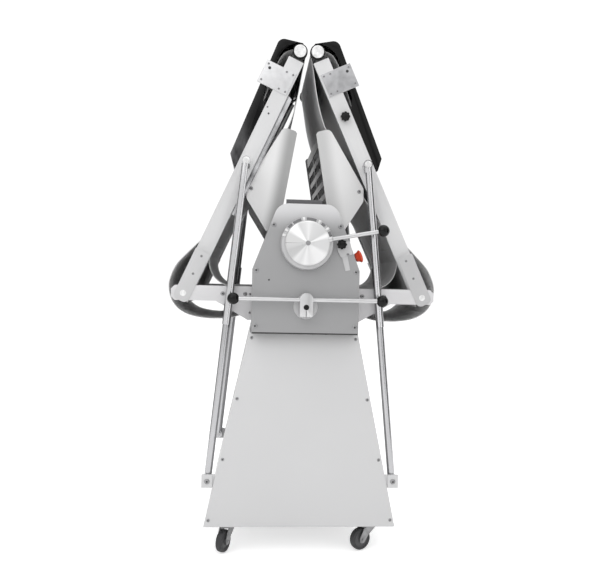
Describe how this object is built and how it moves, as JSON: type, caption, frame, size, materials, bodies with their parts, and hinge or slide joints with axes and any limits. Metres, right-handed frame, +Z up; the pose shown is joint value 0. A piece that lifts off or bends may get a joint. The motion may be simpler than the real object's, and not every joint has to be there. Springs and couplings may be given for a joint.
{
  "type": "dough sheeter",
  "caption": "Floor-standing reversible dough sheeter with chrome sheeting rollers, belt tables that fold up over the head, folding struts, guards and swivel casters.",
  "frame": {"origin": "centre of the bounding box at floor level, tables folded up", "axes": "+Z up; -Y is the operator side with the levers; +X is the operator's right, along the belts"},
  "size_m": [0.893, 0.8288, 1.6779],
  "materials": {
    "base_frame": "light grey semi-gloss paint",
    "base_front_panel": "light grey semi-gloss paint",
    "base_rear_panel": "light grey semi-gloss paint",
    "front_side_frame": "machined casting",
    "rear_side_frame": "machined casting",
    "front_cover": "mid grey paint",
    "rear_cover": "mid grey paint",
    "head_top_plate": "mid grey paint",
    "left_arm_frame": "light grey semi-gloss paint",
    "right_arm_frame": "light grey semi-gloss paint",
    "lower_scraper": "plain steel",
    "drive_motor": "mid grey paint",
    "drive_belt": "black rubber",
    "thickness_ring": "machined aluminium",
    "direction_flange": "mid grey paint",
    "stop_bracket": "plain steel",
    "stop_button_collar": "black plastic",
    "cable_gland": "black plastic",
    "left_belt": "food-grade woven belt",
    "right_belt": "food-grade woven belt",
    "lower_sheeting_roller": "polished chrome",
    "roller_pulley": "plain steel",
    "motor_pulley": "plain steel",
    "thickness_lever": "machined aluminium",
    "thickness_ball_knob": "black phenolic",
    "roller_carriage": "machined casting",
    "upper_sheeting_roller": "polished chrome",
    "direction_lever": "plain steel",
    "left_direction_knob": "black phenolic",
    "right_direction_knob": "black phenolic",
    "stop_star_knob": "black phenolic",
    "stop_button": "orange-red plastic",
    "left_table_frame": "light grey semi-gloss paint",
    "left_catch_tray": "black phenolic",
    "left_end_roller": "plain steel",
    "left_drive_roller": "plain steel",
    "left_guard": "light grey semi-gloss paint",
    "left_front_strut_sleeve": "polished chrome",
    "left_rear_strut_sleeve": "polished chrome",
    "left_front_strut_rod": "polished chrome",
    "left_rear_strut_rod": "polished chrome",
    "left_front_caster_fork": "plain steel",
    "left_front_caster_wheel": "black rubber",
    "left_rear_caster_fork": "plain steel",
    "left_rear_caster_wheel": "black rubber",
    "right_table_frame": "light grey semi-gloss paint",
    "right_catch_tray": "black phenolic",
    "right_end_roller": "plain steel",
    "right_drive_roller": "plain steel",
    "right_guard": "light grey semi-gloss paint",
    "right_front_strut_sleeve": "polished chrome",
    "right_rear_strut_sleeve": "polished chrome",
    "right_front_strut_rod": "polished chrome",
    "right_rear_strut_rod": "polished chrome",
    "right_front_caster_fork": "plain steel",
    "right_front_caster_wheel": "black rubber",
    "right_rear_caster_fork": "plain steel",
    "right_rear_caster_wheel": "black rubber",
    "table_lock_knob": "black phenolic"
  },
  "bodies": {
    "machine": {"base_frame": "base_frame", "base_front_panel": "base_front_panel", "base_rear_panel": "base_rear_panel", "front_side_frame": "front_side_frame", "rear_side_frame": "rear_side_frame", "front_cover": "front_cover", "rear_cover": "rear_cover", "head_top_plate": "head_top_plate", "left_arm_frame": "left_arm_frame", "right_arm_frame": "right_arm_frame", "lower_scraper": "lower_scraper", "drive_motor": "drive_motor", "drive_belt": "drive_belt", "thickness_ring": "thickness_ring", "direction_flange": "direction_flange", "stop_bracket": "stop_bracket", "stop_button_collar": "stop_button_collar", "cable_gland": "cable_gland", "left_belt": "left_belt", "right_belt": "right_belt"},
    "lower_roller": {"lower_sheeting_roller": "lower_sheeting_roller", "roller_pulley": "roller_pulley"},
    "motor_rotor": {"motor_pulley": "motor_pulley"},
    "thickness_control": {"thickness_lever": "thickness_lever", "thickness_ball_knob": "thickness_ball_knob"},
    "upper_roller_carriage": {"roller_carriage": "roller_carriage"},
    "upper_roller": {"upper_sheeting_roller": "upper_sheeting_roller"},
    "direction_control": {"direction_lever": "direction_lever", "left_direction_knob": "left_direction_knob", "right_direction_knob": "right_direction_knob"},
    "stop_star": {"stop_star_knob": "stop_star_knob"},
    "stop_button": {"stop_button": "stop_button"},
    "left_table": {"left_table_frame": "left_table_frame", "left_catch_tray": "left_catch_tray"},
    "left_end_roller": {"left_end_roller": "left_end_roller"},
    "left_drive_roller": {"left_drive_roller": "left_drive_roller"},
    "left_guard": {"left_guard": "left_guard"},
    "left_strut_sleeves": {"left_front_strut_sleeve": "left_front_strut_sleeve", "left_rear_strut_sleeve": "left_rear_strut_sleeve"},
    "left_strut_rods": {"left_front_strut_rod": "left_front_strut_rod", "left_rear_strut_rod": "left_rear_strut_rod"},
    "left_front_swivel": {"left_front_caster_fork": "left_front_caster_fork"},
    "left_front_wheel": {"left_front_caster_wheel": "left_front_caster_wheel"},
    "left_rear_swivel": {"left_rear_caster_fork": "left_rear_caster_fork"},
    "left_rear_wheel": {"left_rear_caster_wheel": "left_rear_caster_wheel"},
    "right_table": {"right_table_frame": "right_table_frame", "right_catch_tray": "right_catch_tray"},
    "right_end_roller": {"right_end_roller": "right_end_roller"},
    "right_drive_roller": {"right_drive_roller": "right_drive_roller"},
    "right_guard": {"right_guard": "right_guard"},
    "right_strut_sleeves": {"right_front_strut_sleeve": "right_front_strut_sleeve", "right_rear_strut_sleeve": "right_rear_strut_sleeve"},
    "right_strut_rods": {"right_front_strut_rod": "right_front_strut_rod", "right_rear_strut_rod": "right_rear_strut_rod"},
    "right_front_swivel": {"right_front_caster_fork": "right_front_caster_fork"},
    "right_front_wheel": {"right_front_caster_wheel": "right_front_caster_wheel"},
    "right_rear_swivel": {"right_rear_caster_fork": "right_rear_caster_fork"},
    "right_rear_wheel": {"right_rear_caster_wheel": "right_rear_caster_wheel"},
    "table_lock": {"table_lock_knob": "table_lock_knob"}
  },
  "joints": [
    {"name": "lower_roller_spin", "type": "hinge", "parent": "machine", "child": "lower_roller", "pos_m": [0, 0.0294, 0.822], "axis": [0, 1, 0], "continuous": true},
    {"name": "motor_spin", "type": "hinge", "parent": "machine", "child": "motor_rotor", "pos_m": [0, 0.0294, 0.205], "axis": [0, 1, 0], "continuous": true},
    {"name": "thickness_lever_turn", "type": "hinge", "parent": "machine", "child": "thickness_control", "pos_m": [0, -0.3956, 1.005], "axis": [0, -1, 0], "range_deg": [0, 160]},
    {"name": "upper_roller_lift", "type": "slide", "parent": "machine", "child": "upper_roller_carriage", "axis": [0, 0, 1], "range_m": [0, 0.038]},
    {"name": "upper_roller_spin", "type": "hinge", "parent": "upper_roller_carriage", "child": "upper_roller", "pos_m": [0, 0.0294, 0.916], "axis": [0, 1, 0], "continuous": true},
    {"name": "direction_lever_tilt", "type": "hinge", "parent": "machine", "child": "direction_control", "pos_m": [0, -0.3806, 0.806], "axis": [0, 1, 0], "range_deg": [-13, 13]},
    {"name": "stop_star_turn", "type": "hinge", "parent": "machine", "child": "stop_star", "pos_m": [0.109, -0.3706, 1.005], "axis": [0, 1, 0], "continuous": true},
    {"name": "stop_button_press", "type": "slide", "parent": "machine", "child": "stop_button", "axis": [-0.9343, 0, -0.3565], "range_m": [0, 0.004], "stiffness_N_per_m": 600},
    {"name": "left_table_fold", "type": "hinge", "parent": "machine", "child": "left_table", "pos_m": [-0.392, 0.0294, 0.84], "axis": [0, -1, 0], "range_deg": [0, 114.4], "deforming": ["left_belt"]},
    {"name": "left_end_roller_spin", "type": "hinge", "parent": "left_table", "child": "left_end_roller", "pos_m": [-0.02888, 0.0294, 1.64049], "axis": [0, 1, 0], "continuous": true},
    {"name": "left_drive_roller_spin", "type": "hinge", "parent": "machine", "child": "left_drive_roller", "pos_m": [-0.078, 0.0294, 0.8355], "axis": [0, 1, 0], "continuous": true},
    {"name": "left_guard_lower", "type": "hinge", "parent": "machine", "child": "left_guard", "pos_m": [-0.1, 0.0294, 1.066], "axis": [0, -1, 0], "range_deg": [0, 114.5]},
    {"name": "left_strut_sleeve_swing", "type": "hinge", "parent": "left_table", "child": "left_strut_sleeves", "pos_m": [-0.19701, 0.0294, 1.26984], "axis": [0, -1, 0], "range_deg": [-65.6, 0]},
    {"name": "left_strut_rod_swing", "type": "hinge", "parent": "machine", "child": "left_strut_rods", "pos_m": [-0.301, 0.0294, 0.239], "axis": [0, -1, 0], "range_deg": [0, 48.95]},
    {"name": "left_front_caster_swivel", "type": "hinge", "parent": "machine", "child": "left_front_swivel", "pos_m": [-0.233, -0.2556, 0.08], "axis": [0, 0, 1], "continuous": true},
    {"name": "left_front_wheel_roll", "type": "hinge", "parent": "left_front_swivel", "child": "left_front_wheel", "pos_m": [-0.24652, -0.2846, 0.036], "axis": [0.9063, -0.4226, 0], "continuous": true},
    {"name": "left_rear_caster_swivel", "type": "hinge", "parent": "machine", "child": "left_rear_swivel", "pos_m": [-0.233, 0.3144, 0.08], "axis": [0, 0, 1], "continuous": true},
    {"name": "left_rear_wheel_roll", "type": "hinge", "parent": "left_rear_swivel", "child": "left_rear_wheel", "pos_m": [-0.22206, 0.34447, 0.036], "axis": [-0.9397, 0.342, 0], "continuous": true},
    {"name": "right_table_fold", "type": "hinge", "parent": "machine", "child": "right_table", "pos_m": [0.392, 0.0294, 0.84], "axis": [0, 1, 0], "range_deg": [0, 114.4], "deforming": ["right_belt"]},
    {"name": "right_end_roller_spin", "type": "hinge", "parent": "right_table", "child": "right_end_roller", "pos_m": [0.02888, 0.0294, 1.64049], "axis": [0, 1, 0], "continuous": true},
    {"name": "right_drive_roller_spin", "type": "hinge", "parent": "machine", "child": "right_drive_roller", "pos_m": [0.078, 0.0294, 0.8355], "axis": [0, 1, 0], "continuous": true},
    {"name": "right_guard_lower", "type": "hinge", "parent": "machine", "child": "right_guard", "pos_m": [0.1, 0.0294, 1.066], "axis": [0, 1, 0], "range_deg": [0, 114.5]},
    {"name": "right_strut_sleeve_swing", "type": "hinge", "parent": "right_table", "child": "right_strut_sleeves", "pos_m": [0.19701, 0.0294, 1.26984], "axis": [0, 1, 0], "range_deg": [-65.6, 0]},
    {"name": "right_strut_rod_swing", "type": "hinge", "parent": "machine", "child": "right_strut_rods", "pos_m": [0.301, 0.0294, 0.239], "axis": [0, 1, 0], "range_deg": [0, 48.95]},
    {"name": "right_front_caster_swivel", "type": "hinge", "parent": "machine", "child": "right_front_swivel", "pos_m": [0.233, -0.2556, 0.08], "axis": [0, 0, 1], "continuous": true},
    {"name": "right_front_wheel_roll", "type": "hinge", "parent": "right_front_swivel", "child": "right_front_wheel", "pos_m": [0.20475, -0.27062, 0.036], "axis": [0.4695, -0.8829, 0], "continuous": true},
    {"name": "right_rear_caster_swivel", "type": "hinge", "parent": "machine", "child": "right_rear_swivel", "pos_m": [0.233, 0.3144, 0.08], "axis": [0, 0, 1], "continuous": true},
    {"name": "right_rear_wheel_roll", "type": "hinge", "parent": "right_rear_swivel", "child": "right_rear_wheel", "pos_m": [0.21948, 0.3434, 0.036], "axis": [-0.9063, -0.4226, 0], "continuous": true},
    {"name": "table_lock_turn", "type": "hinge", "parent": "right_table", "child": "table_lock", "pos_m": [0.1239, -0.2606, 1.43103], "axis": [0, 1, 0], "continuous": true}
  ],
  "couplings": [
    {"joint": "motor_spin", "follows": "lower_roller_spin", "ratio": 1.8333},
    {"joint": "upper_roller_lift", "follows": "thickness_lever_turn", "m_per_rad": 0.0136},
    {"joint": "upper_roller_spin", "follows": "lower_roller_spin", "ratio": -1},
    {"joint": "left_end_roller_spin", "follows": "lower_roller_spin", "ratio": 2.2564},
    {"joint": "left_drive_roller_spin", "follows": "lower_roller_spin", "ratio": 1.8333},
    {"joint": "left_guard_lower", "follows": "left_table_fold", "ratio": 1},
    {"joint": "left_strut_sleeve_swing", "follows": "left_table_fold", "ratio": -0.57264},
    {"joint": "left_strut_rod_swing", "follows": "left_table_fold", "ratio": 0.42736},
    {"joint": "right_end_roller_spin", "follows": "lower_roller_spin", "ratio": 2.2564},
    {"joint": "right_drive_roller_spin", "follows": "lower_roller_spin", "ratio": 1.8333},
    {"joint": "right_guard_lower", "follows": "right_table_fold", "ratio": 1},
    {"joint": "right_strut_sleeve_swing", "follows": "right_table_fold", "ratio": -0.57264},
    {"joint": "right_strut_rod_swing", "follows": "right_table_fold", "ratio": 0.42736}
  ]
}
